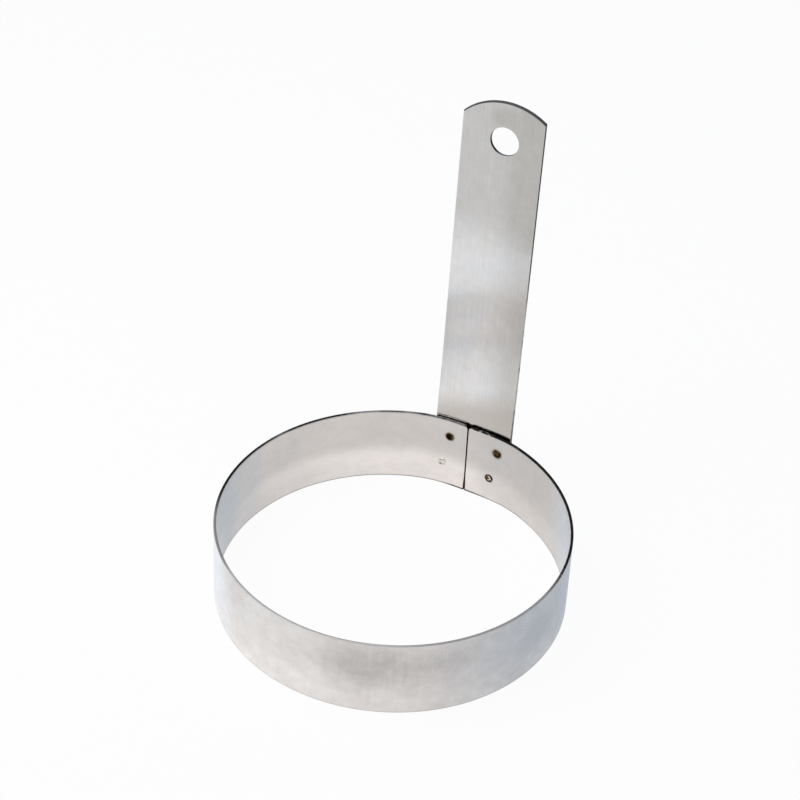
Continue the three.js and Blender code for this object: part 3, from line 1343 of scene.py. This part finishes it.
@dataclass(frozen=True)
class WeldFinish:
    """The burnt face of a spot weld: dark in the dish, brown at the rim, paler where it stayed clean."""

    name: str
    burnt: Colour = (0.006, 0.004, 0.003)
    rim: Colour = (0.26, 0.165, 0.085)
    olive: Colour = (0.09, 0.053, 0.016)
    fleck: Colour = (0.80, 0.75, 0.56)
    clean: Colour = (0.86, 0.83, 0.76)
    scorch: Colour = (0.10, 0.09, 0.05)
    speck_noise: float = 1750.0
    blotch_noise: float = 900.0
    flake_noise: float = 1500.0
    ragged: float = 0.5
    border: Ease = Ease(0.75, 1.1)
    border_flecked: float = 0.3
    border_lost: float = 0.9
    blotched: Ease = Ease(0.03, 0.09)
    flaked: Ease = Ease(0.49, 0.54)
    flaked_within: Ease = Ease(0.6, 0.85, 1.0, 0.0)
    flaked_welds: Ease = Ease(0.3, 0.9)
    scorched_beyond: Ease = Ease(0.4, 0.55)
    scorched_within: Ease = Ease(0.75, 0.95, 1.0, 0.0)
    scorched: Ease = Ease(0.44, 0.51, 0.0, 0.8)
    roughness: float = 0.42
    speck_roughness: float = 0.3
    bump_strength: float = 0.6
    bump_height: float = 0.06 * MM

    def material(self) -> bpy.types.Material:
        """Builds the finish as a material that reads each weld's own tint, flecks and radius.

        Returns:
            The material.
        """
        kit = NodeKit.fresh(bpy.data.materials.new(self.name))
        tint, flecked, radius = (
            kit.add("ShaderNodeAttribute", {"attribute_name": name}, {}, "Fac")
            for name in (SpotWelds.TINT, SpotWelds.FLECKS, SpotWelds.RADIUS)
        )
        place = kit.add("ShaderNodeTexCoord", output="Object")
        speck = kit.noise(place, self.speck_noise, 2.0)
        blotch = kit.noise(place, self.blotch_noise, 2.0) - 0.5
        reach = radius + blotch * self.ragged
        border = self.border.at(reach - flecked * self.border_flecked) * (1 - flecked * self.border_lost)
        colour = kit.mix_colour(border, self.burnt, self.rim)
        part_burnt = flecked * (1 - flecked) * 4
        colour = kit.mix_colour(self.blotched.at(blotch) * part_burnt, colour, self.olive)
        flakes = self.flaked.at(kit.noise(place, self.flake_noise, 1.0)) * self.flaked_within.at(reach)
        colour = kit.mix_colour(flakes * self.flaked_welds.at(flecked), colour, self.fleck)
        ring = self.scorched_beyond.at(reach) * self.scorched_within.at(reach)
        pale = kit.mix_colour(ring * self.scorched.at(speck), self.clean, self.scorch)
        colour = kit.mix_colour(tint, pale, colour)
        rough = self.roughness + (speck - 0.5) * self.speck_roughness
        inputs = {"Strength": self.bump_strength, "Distance": self.bump_height, "Height": speck}
        return kit.metal(colour, rough, kit.add("ShaderNodeBump", {}, inputs))


@dataclass
class RingBand:
    """The rolled band, swept from one side of the seam round to the other by geometry nodes."""

    sizes: RingSizes
    material: bpy.types.Material
    edge_radius: float = 0.14 * MM
    edge_steps: int = 3
    stations: int = 760
    crowding: float = 0.95
    NAME = "rolled_band"
    NODE = "ring_band"
    SLOT = "ring_steel"
    FROM_SEAM = "from_seam"

    def build(self) -> bpy.types.Object:
        """Makes the band's mesh.

        Returns:
            The band.
        """
        s = self.sizes
        shape = ShapeTree(
            self.NAME,
            {
                "Outside Radius": s.outside_radius,
                "Axis Y": s.axis_y,
                "Thickness": s.band_thickness,
                "Height": s.height,
                "Seam Angle": s.seam_angle,
                "Seam Gap": s.seam_gap,
                "Seam Foot Gap": s.seam_foot_gap,
                "Seam Draw": s.seam_draw,
                "Seam Top Radius": s.seam_top_radius,
                "Seam Bottom Radius": s.seam_bottom_radius,
                "Press Depth": s.press_depth,
                "Press Half Angle": s.press_half_angle,
                "Edge Radius": self.edge_radius,
                "Edge Steps": self.edge_steps,
                "Stations": self.stations,
                "Crowding": self.crowding,
                ShapeTree.MATERIAL: self.material,
            },
        )
        swept = self._sweep(shape, self._rolled_run(shape))
        shape.close(self._form_ends(shape, swept))
        return even_normals(shape.mesh(self.NAME))

    def _rolled_run(self, shape: ShapeTree) -> Sock:
        """The strip's middle line round the ring, with each point's distance from the seam's nearer side.

        Args:
            shape: the band's tree.

        Returns:
            The line, with that distance on its points.
        """
        kit = shape.kit
        outside_radius = shape.size("Outside Radius")
        count = shape.size("Stations")
        line = {"Curve": kit.add("GeometryNodeCurvePrimitiveLine"), "Count": count}
        points = kit.add("GeometryNodeResampleCurve", {"mode": "COUNT"}, line)
        share = kit.add("GeometryNodeInputIndex") / (count - 1)
        crowded = share - shape.size("Crowding") * (share * math.tau).sin() / math.tau
        gap_angle = shape.size("Seam Gap") / outside_radius
        sweep_angle = math.tau - gap_angle
        angle = shape.size("Seam Angle") + gap_angle / 2 + crowded * sweep_angle
        from_handle = abs(angle.wrap(math.pi, -math.pi))
        pressed = (from_handle / shape.size("Press Half Angle")).least(1.0)
        dip = shape.size("Press Depth") * (1 + (pressed * math.pi).cos()) / 2
        radius = outside_radius - shape.size("Thickness") / 2 - dip
        place = kit.vector(radius * angle.sin(), shape.size("Axis Y") + radius * angle.cos(), 0.0)
        reach = crowded.least(1 - crowded) * sweep_angle * outside_radius
        return kit.store(shape.move(points, Position=place), self.FROM_SEAM, reach)

    @staticmethod
    def _sweep(shape: ShapeTree, run: Sock) -> Sock:
        """The strip's section, with its deburred edges, swept along the run.

        Args:
            shape: the band's tree.
            run: the strip's middle line.

        Returns:
            The strip's mesh, on the floor.
        """
        kit = shape.kit
        height = shape.size("Height")
        section = {"Width": shape.size("Thickness"), "Height": height}
        corners = {
            "Curve": kit.add("GeometryNodeCurvePrimitiveQuadrilateral", {"mode": "RECTANGLE"}, section),
            "Count": shape.size("Edge Steps"),
            "Radius": shape.size("Edge Radius"),
            "Limit Radius": True,
        }
        rails = {
            "Curve": kit.add("GeometryNodeSetCurveNormal", {"mode": "Z_UP"}, {"Curve": run}),
            "Profile Curve": kit.add("GeometryNodeFilletCurve", {"mode": "POLY"}, corners),
            "Fill Caps": True,
        }
        swept = kit.add("GeometryNodeCurveToMesh", {}, rails)
        return shape.move(swept, Offset=kit.vector(0.0, 0.0, height / 2))

    def _form_ends(self, shape: ShapeTree, swept: Sock) -> Sock:
        """Draws the strip's corners in, above and below, and its ends together towards the foot.

        Args:
            shape: the band's tree.
            swept: the strip's mesh.

        Returns:
            The mesh with its formed ends.
        """
        kit = shape.kit
        named = {"Name": self.FROM_SEAM}
        away = kit.add("GeometryNodeInputNamedAttribute", {"data_type": "FLOAT"}, named, "Attribute")

        def drawn_in(radius: Sock) -> Sock:
            """How far a rounded corner has come in at this distance from the seam."""
            short = radius - away.least(radius)
            return radius - (radius * radius - short * short).most(0.0).sqrt()

        x, y, z = kit.split(kit.add("GeometryNodeInputPosition"))
        height = shape.size("Height")
        low = drawn_in(shape.size("Seam Bottom Radius"))
        high = height - drawn_in(shape.size("Seam Top Radius"))
        closing = (shape.size("Seam Gap") - shape.size("Seam Foot Gap")) / 2 * (1 - z / height)
        pulled = closing * (1 - (away / shape.size("Seam Draw")).least(1.0))
        side = (x - shape.size("Outside Radius") * shape.size("Seam Angle").sin()).sign()
        place = kit.vector(x - side * pulled, y, low + z / height * (high - low))
        return shape.move(swept, Position=place)

    def dress(self, piece: bpy.types.Object) -> bpy.types.Object:
        """Ties the band to its body and hides its solid."""
        return tie(piece, self.SLOT, self.NODE)


@dataclass
class HandleStrap:
    """The strip handle: a flat blank with a cropped end and a hole, formed to the band at its foot."""

    sizes: RingSizes
    material: bpy.types.Material
    columns: int = 40
    tab_rows: int = 8
    flatten_rows: int = 36
    arc_steps: int = 96
    edge_radius: float = 0.14 * MM
    edge_steps: int = 3
    sharp_angle: float = math.radians(60.0)
    NAME = "formed_handle"
    NODE = "handle_strap"
    SLOT = "handle_steel"

    @property
    def tab_height(self) -> float:
        """Height of the tab below the rim."""
        return self.sizes.height - self.sizes.tab_bottom

    @property
    def flatten_start(self) -> float:
        """Length from the tab's lower end to where the strip begins to flatten."""
        return self.tab_height - self.sizes.flatten_below_rim

    @property
    def flatten_length(self) -> float:
        """Length over which the strip goes from rolled to flat."""
        return self.sizes.flatten_below_rim + self.sizes.flatten_above_rim

    @property
    def length(self) -> float:
        """Length of the strip to its furthest point."""
        return self.tab_height + self.sizes.strap_rise

    def formed(self, across: float, along: float, through: float) -> Vector:
        """Where a point of the flat blank lies once the strip is formed.

        Args:
            across: from the strip's middle line.
            along: from the tab's lower end.
            through: from the face that looks at the ring's axis.

        Returns:
            The point.
        """
        s = self.sizes
        bent = min(max(along - self.flatten_start, 0.0), self.flatten_length)
        beyond = max(along - self.flatten_start - self.flatten_length, 0.0)
        tilt = bent / self.flatten_length * s.strap_lean
        half = tilt / 2
        chord = bent * math.sin(half) / half if half else bent
        out = chord * math.sin(half) + beyond * math.sin(s.strap_lean)
        up = s.tab_bottom + min(along, self.flatten_start)
        up += chord * math.cos(half) + beyond * math.cos(s.strap_lean)
        foot = s.seat_radius(0.0) + s.sheet_clearance
        angle = across / (foot + s.strap_thickness / 2)
        radius = s.seat_radius(angle) + s.sheet_clearance + through
        flat = ease(along, self.flatten_start, self.flatten_start + self.flatten_length)
        x = mixed(radius * math.sin(angle), across, flat)
        lift = mixed(radius * math.cos(angle) - foot, through, flat)
        return Vector((x, s.axis_y + foot + out + lift * math.cos(tilt), up - lift * math.sin(tilt)))

    def build(self) -> bpy.types.Object:
        """Makes the handle's mesh: blank, thickness, eased edges, then the forming.

        Returns:
            The handle.
        """
        work = bmesh.new()
        self._upper_end(work, self._lower_grid(work))
        self._thicken(work)
        for vertex in work.verts:
            vertex.co = self.formed(*vertex.co)
        work.normal_update()
        bmesh.ops.recalc_face_normals(work, faces=work.faces)
        mesh = bpy.data.meshes.new(self.NAME)
        work.to_mesh(mesh)
        work.free()
        mesh.materials.append(self.material)
        return even_normals(add_object(self.NAME, mesh))

    def _lower_grid(self, work: bmesh.types.BMesh) -> list[bmesh.types.BMVert]:
        """The tab and the stretch that flattens, as a grid of the flat blank.

        Args:
            work: the mesh in the making, with across, along and through as its axes.

        Returns:
            The grid's top row of vertices, from left to right.
        """
        rows = [self.flatten_start * step / self.tab_rows for step in range(self.tab_rows)]
        for step in range(self.flatten_rows + 1):
            rows.append(self.flatten_start + self.flatten_length * step / self.flatten_rows)
        last: list[bmesh.types.BMVert] = []
        for along in rows:
            row = []
            for column in range(self.columns + 1):
                across = (column / self.columns - 0.5) * self.sizes.strap_width
                row.append(work.verts.new((across, along, 0.0)))
            for left, right, low_left, low_right in zip(row, row[1:], last, last[1:]):
                work.faces.new((right, low_right, low_left, left))
            last = row
        return last

    @staticmethod
    def _arc(
        work: bmesh.types.BMesh, centre: tuple[float, float], radius: float, turns: Sequence[float]
    ) -> list[bmesh.types.BMVert]:
        """Vertices on an arc of the flat blank.

        Args:
            work: the mesh in the making.
            centre: the arc's centre, across and along.
            radius: its radius.
            turns: the angles of its vertices.

        Returns:
            The vertices.
        """
        across, along = centre
        return [
            work.verts.new((across + radius * math.cos(turn), along + radius * math.sin(turn), 0.0))
            for turn in turns
        ]

    def _upper_end(self, work: bmesh.types.BMesh, row: list[bmesh.types.BMVert]) -> None:
        """The straight stretch up to the cropped end, with the hanging hole left open.

        Args:
            work: the mesh in the making.
            row: the lower grid's top row, from left to right.
        """
        s = self.sizes
        steps = self.arc_steps
        half = s.strap_width / 2
        right = math.acos((half - s.crown_offset) / s.crown_radius)
        left = math.acos((-half - s.crown_offset) / s.crown_radius)
        turns = [mixed(right, left, step / steps) for step in range(steps + 1)]
        crown = self._arc(work, (s.crown_offset, self.length - s.crown_radius), s.crown_radius, turns)
        turns = [math.tau * step / steps for step in range(steps)]
        rim = self._arc(work, (s.hole_offset, self.length - s.hole_setback), s.hole_radius, turns)
        outline = [row[-1], *crown, row[0]]
        edges = [work.edges.new(pair) for pair in zip(outline, outline[1:])]
        edges += [work.edges.get(pair) for pair in zip(row, row[1:])]
        edges += [work.edges.new(pair) for pair in zip(rim, [*rim[1:], rim[0]])]
        bmesh.ops.triangle_fill(work, use_beauty=True, edges=edges)

    def _thicken(self, work: bmesh.types.BMesh) -> None:
        """Gives the blank its thickness and eases its sheared edges.

        Args:
            work: the mesh in the making.
        """
        bmesh.ops.recalc_face_normals(work, faces=work.faces)
        result = bmesh.ops.extrude_face_region(work, geom=work.faces[:], use_keep_orig=True)
        for item in result["geom"]:
            if isinstance(item, bmesh.types.BMVert):
                item.co.z += self.sizes.strap_thickness
        work.normal_update()
        bmesh.ops.recalc_face_normals(work, faces=work.faces)
        bmesh.ops.bevel(
            work,
            geom=[
                edge for edge in work.edges
                if edge.is_manifold and edge.calc_face_angle(0.0) > self.sharp_angle
            ],
            offset=self.edge_radius,
            segments=self.edge_steps,
            profile=0.5,
            affect="EDGES",
            clamp_overlap=True,
        )

    def dress(self, piece: bpy.types.Object) -> bpy.types.Object:
        """Ties the handle to its body and hides its solid."""
        return tie(piece, self.SLOT, self.NODE)


@dataclass
class SpotWelds:
    """The four spot welds, set out by geometry nodes: dished faces that stand a hair proud of the sheets."""

    sizes: RingSizes
    material: bpy.types.Material
    welds: Sequence[WeldPlace]
    proud: float = 0.12 * MM
    dish_depth: float = 0.07 * MM
    dish_inner: float = 0.56 * MM
    dish_outer: float = 0.14 * MM
    edge_start: float = 0.94
    edge_fall: float = 0.6
    sides: int = 64
    rings: int = 12
    SLOT = "weld_tint"
    NAME = "spot_welds"
    TINT = "weld_tint_share"
    FLECKS = "weld_fleck_share"
    RADIUS = "weld_radius_share"

    def build(self) -> bpy.types.Object:
        """Makes all the welds as one mesh.

        Returns:
            The welds.
        """
        s = self.sizes
        shape = ShapeTree(
            self.NAME,
            {
                "Weld Radius": s.weld_radius,
                "Depth": s.stack + 2 * self.proud,
                "Dish Depth": self.dish_depth,
                "Dish Inner": self.dish_inner,
                "Dish Outer": self.dish_outer,
                "Sides": self.sides,
                "Rings": self.rings,
                ShapeTree.MATERIAL: self.material,
            },
        )
        kit = shape.kit
        nugget = self._nugget(shape)
        joined = kit.node("GeometryNodeJoinGeometry")
        for weld in self.welds:
            turn = (math.pi / 2, 0.0, -weld.angle)
            place = {"Geometry": nugget, "Translation": weld.centre(s), "Rotation": turn}
            placed = kit.add("GeometryNodeTransform", {}, place)
            tinted = kit.store(placed, self.TINT, weld.look.tint)
            kit.feed(joined.inputs[0], kit.store(tinted, self.FLECKS, weld.look.flecks))
        shape.close(Sock(kit, joined.outputs[0]))
        return even_normals(shape.mesh(self.NAME))

    def _nugget(self, shape: ShapeTree) -> Sock:
        """One weld about the Z axis, with a shallow dish in each end.

        Args:
            shape: the welds' tree.

        Returns:
            The weld's mesh, with each point's share of the radius on it.
        """
        kit = shape.kit
        radius = shape.size("Weld Radius")
        depth = shape.size("Depth")
        plug = {
            "Vertices": shape.size("Sides"),
            "Fill Segments": shape.size("Rings"),
            "Radius": radius,
            "Depth": depth,
        }
        x, y, z = kit.split(kit.add("GeometryNodeInputPosition"))
        away = (x * x + y * y).sqrt()
        sunk = away.ramp(radius - shape.size("Dish Inner"), radius - shape.size("Dish Outer"), 1.0, 0.0)
        eased = away.ramp(radius * self.edge_start, radius, 0.0, self.edge_fall)
        flat = 1 - 2 * shape.size("Dish Depth") * (sunk + eased) / depth
        made = kit.add("GeometryNodeMeshCylinder", {"fill_type": "NGON"}, plug)
        dished = shape.move(made, Position=kit.vector(x, y, z * flat))
        return kit.store(dished, self.RADIUS, away / radius)

    def dress(self, piece: bpy.types.Object) -> bpy.types.Object:
        """Ties the welds to their body and hides their solids."""
        return tie(piece, self.SLOT, *(weld.node for weld in self.welds))


@dataclass(frozen=True)
class PhotoCamera:
    """The photograph's viewpoint about the ring's own axis, in degrees, metres and pixels."""

    axis_y: float
    azimuth: float = 26.609
    elevation: float = 42.488
    distance: float = 0.65918
    focal_pixels: float = 2237.8
    roll: float = -2.972
    pan: float = -0.0036
    tilt: float = -4.7456
    nearest: float = 0.01
    NAME = "photo_camera"

    def build(self) -> bpy.types.Object:
        """Makes the scene's camera.

        Returns:
            The camera.
        """
        back = direction(self.azimuth, self.elevation)
        turn = math.radians(self.azimuth)
        right = Vector((math.cos(turn), math.sin(turn), 0.0))
        level = Matrix((right, back.cross(right), back))
        aim = Matrix.Identity(3)
        for angle, axis in ((self.roll, "Z"), (self.tilt, "X"), (self.pan, "Y")):
            aim = aim @ Matrix.Rotation(math.radians(angle), 3, axis)
        data = bpy.data.cameras.new(self.NAME)
        data.sensor_width = SENSOR_WIDTH
        data.lens = self.focal_pixels * SENSOR_WIDTH / IMAGE_SIDE
        data.clip_start = self.nearest
        camera = add_object(self.NAME, data)
        place = Matrix.Translation(Vector((0.0, self.axis_y, 0.0)) + back * self.distance)
        camera.matrix_world = place @ (aim @ level).transposed().to_4x4()
        bpy.context.scene.camera = camera
        return camera


@dataclass(frozen=True)
class SoftLamp:
    """One large soft lamp, aimed at the middle of the ring."""

    name: str
    azimuth: float
    elevation: float
    distance: float
    side: float
    power: float
    colour: Colour

    def build(self, target: Vector) -> bpy.types.Object:
        """Makes the lamp.

        Args:
            target: the point that it faces.

        Returns:
            The lamp's object.
        """
        back = direction(self.azimuth, self.elevation)
        data = bpy.data.lights.new(self.name, "AREA")
        data.shape = "SQUARE"
        data.size = self.side
        data.energy = self.power
        data.color = self.colour
        lamp = add_object(self.name, data)
        lamp.location = target + back * self.distance
        lamp.rotation_euler = (-back).to_track_quat("-Z", "Y").to_euler()
        return lamp


@dataclass(frozen=True)
class Studio:
    """A plain pale floor under soft studio light, white to the eye and to the steel."""

    sizes: RingSizes
    floor_half: float = 3.0
    floor_shade: Colour = (0.86, 0.86, 0.86)
    camera_white: float = 0.95
    mirrored_white: float = 0.5
    low_sky: Colour = (0.46, 0.58, 0.8)
    high_sky: Colour = (0.18, 0.21, 0.26)
    sky: Ease = Ease(0.1, 0.6)
    lamps: tuple[SoftLamp, ...] = (
        SoftLamp("key_lamp", -62.0, 56.0, 0.5, 0.4, 1.3, (1.0, 0.96, 0.9)),
        SoftLamp("top_lamp", 0.0, 88.0, 0.9, 0.9, 2.3, (1.0, 0.97, 0.93)),
    )

    def build(self) -> bpy.types.Object:
        """Makes the surroundings, the lamps and the floor.

        Returns:
            The floor.
        """
        self._surroundings()
        target = Vector((0.0, self.sizes.axis_y, self.sizes.height / 2))
        for lamp in self.lamps:
            lamp.build(target)
        return self._floor()

    def _whitened(self, kit: NodeKit, plain: Sock, white: Sock) -> Sock:
        """Lays plain white over a shader: nearly all of it for the camera, some of it in the steel.

        Args:
            kit: the nodes of the floor or the world.
            plain: the shader that lights the ring.
            white: the white shader.

        Returns:
            The mixed shader.
        """
        node = kit.node("ShaderNodeLightPath")
        rays = ("Is Camera Ray", "Is Glossy Ray", "Is Transmission Ray")
        camera, glossy, through = (Sock(kit, node.outputs[name]) for name in rays)
        share = (camera * self.camera_white).most(glossy.most(through) * self.mirrored_white)
        return kit.add("ShaderNodeMixShader", {}, {0: share, 1: plain, 2: white})

    def _floor(self) -> bpy.types.Object:
        """The floor, just under the ring's rim, with its shadow.

        Returns:
            The floor.
        """
        half = self.floor_half
        corners = [(-half, -half, 0.0), (half, -half, 0.0), (half, half, 0.0), (-half, half, 0.0)]
        mesh = bpy.data.meshes.new("floor")
        mesh.from_pydata(corners, [], [(0, 1, 2, 3)])
        floor = add_object("floor", mesh)
        kit = NodeKit.fresh(bpy.data.materials.new("pale_floor"))
        matt = kit.add("ShaderNodeBsdfDiffuse", {}, {"Color": kit.rgba(self.floor_shade)})
        white = kit.add("ShaderNodeEmission", {}, {"Color": kit.rgba(WHITE), "Strength": 1.0})
        kit.node("ShaderNodeOutputMaterial", {}, {"Surface": self._whitened(kit, matt, white)})
        mesh.materials.append(kit.owner)
        return floor

    def _surroundings(self) -> None:
        """Pale low down and darker overhead, as between studio walls; white where the camera looks."""
        kit = NodeKit.fresh(bpy.data.worlds.new("studio"))
        _, _, up = kit.split(kit.add("ShaderNodeTexCoord", output="Generated"))
        colour = kit.mix_colour(self.sky.at(up), self.low_sky, self.high_sky)
        around, white = (
            kit.add("ShaderNodeBackground", {}, {"Color": kit.rgba(shade), "Strength": 1.0})
            for shade in (colour, WHITE)
        )
        kit.node("ShaderNodeOutputWorld", {}, {"Surface": self._whitened(kit, around, white)})
        bpy.context.scene.world = kit.owner


def report(piece: bpy.types.Object) -> None:
    """Logs a finished piece and how many faces it has."""
    LOG.info("%s: %d faces", piece.name, len(piece.data.polygons))


def main() -> None:
    """Builds the egg ring's pieces, the studio and the camera."""
    logging.basicConfig(level=logging.INFO, format="%(name)s %(message)s")
    bpy.context.scene.view_settings.view_transform = "Standard"
    sizes = RingSizes.from_frame()
    welds = weld_places(sizes)
    parts = (
        RingBand(sizes, BandSteel("band_steel").material(sizes, welds)),
        HandleStrap(sizes, StrapSteel("strap_steel").material(sizes, welds)),
        SpotWelds(sizes, WeldFinish("weld_tint").material(), welds),
    )
    for part in parts:
        report(part.dress(part.build()))
    Studio(sizes).build()
    PhotoCamera(sizes.axis_y).build()


if __name__ == "__main__":
    main()
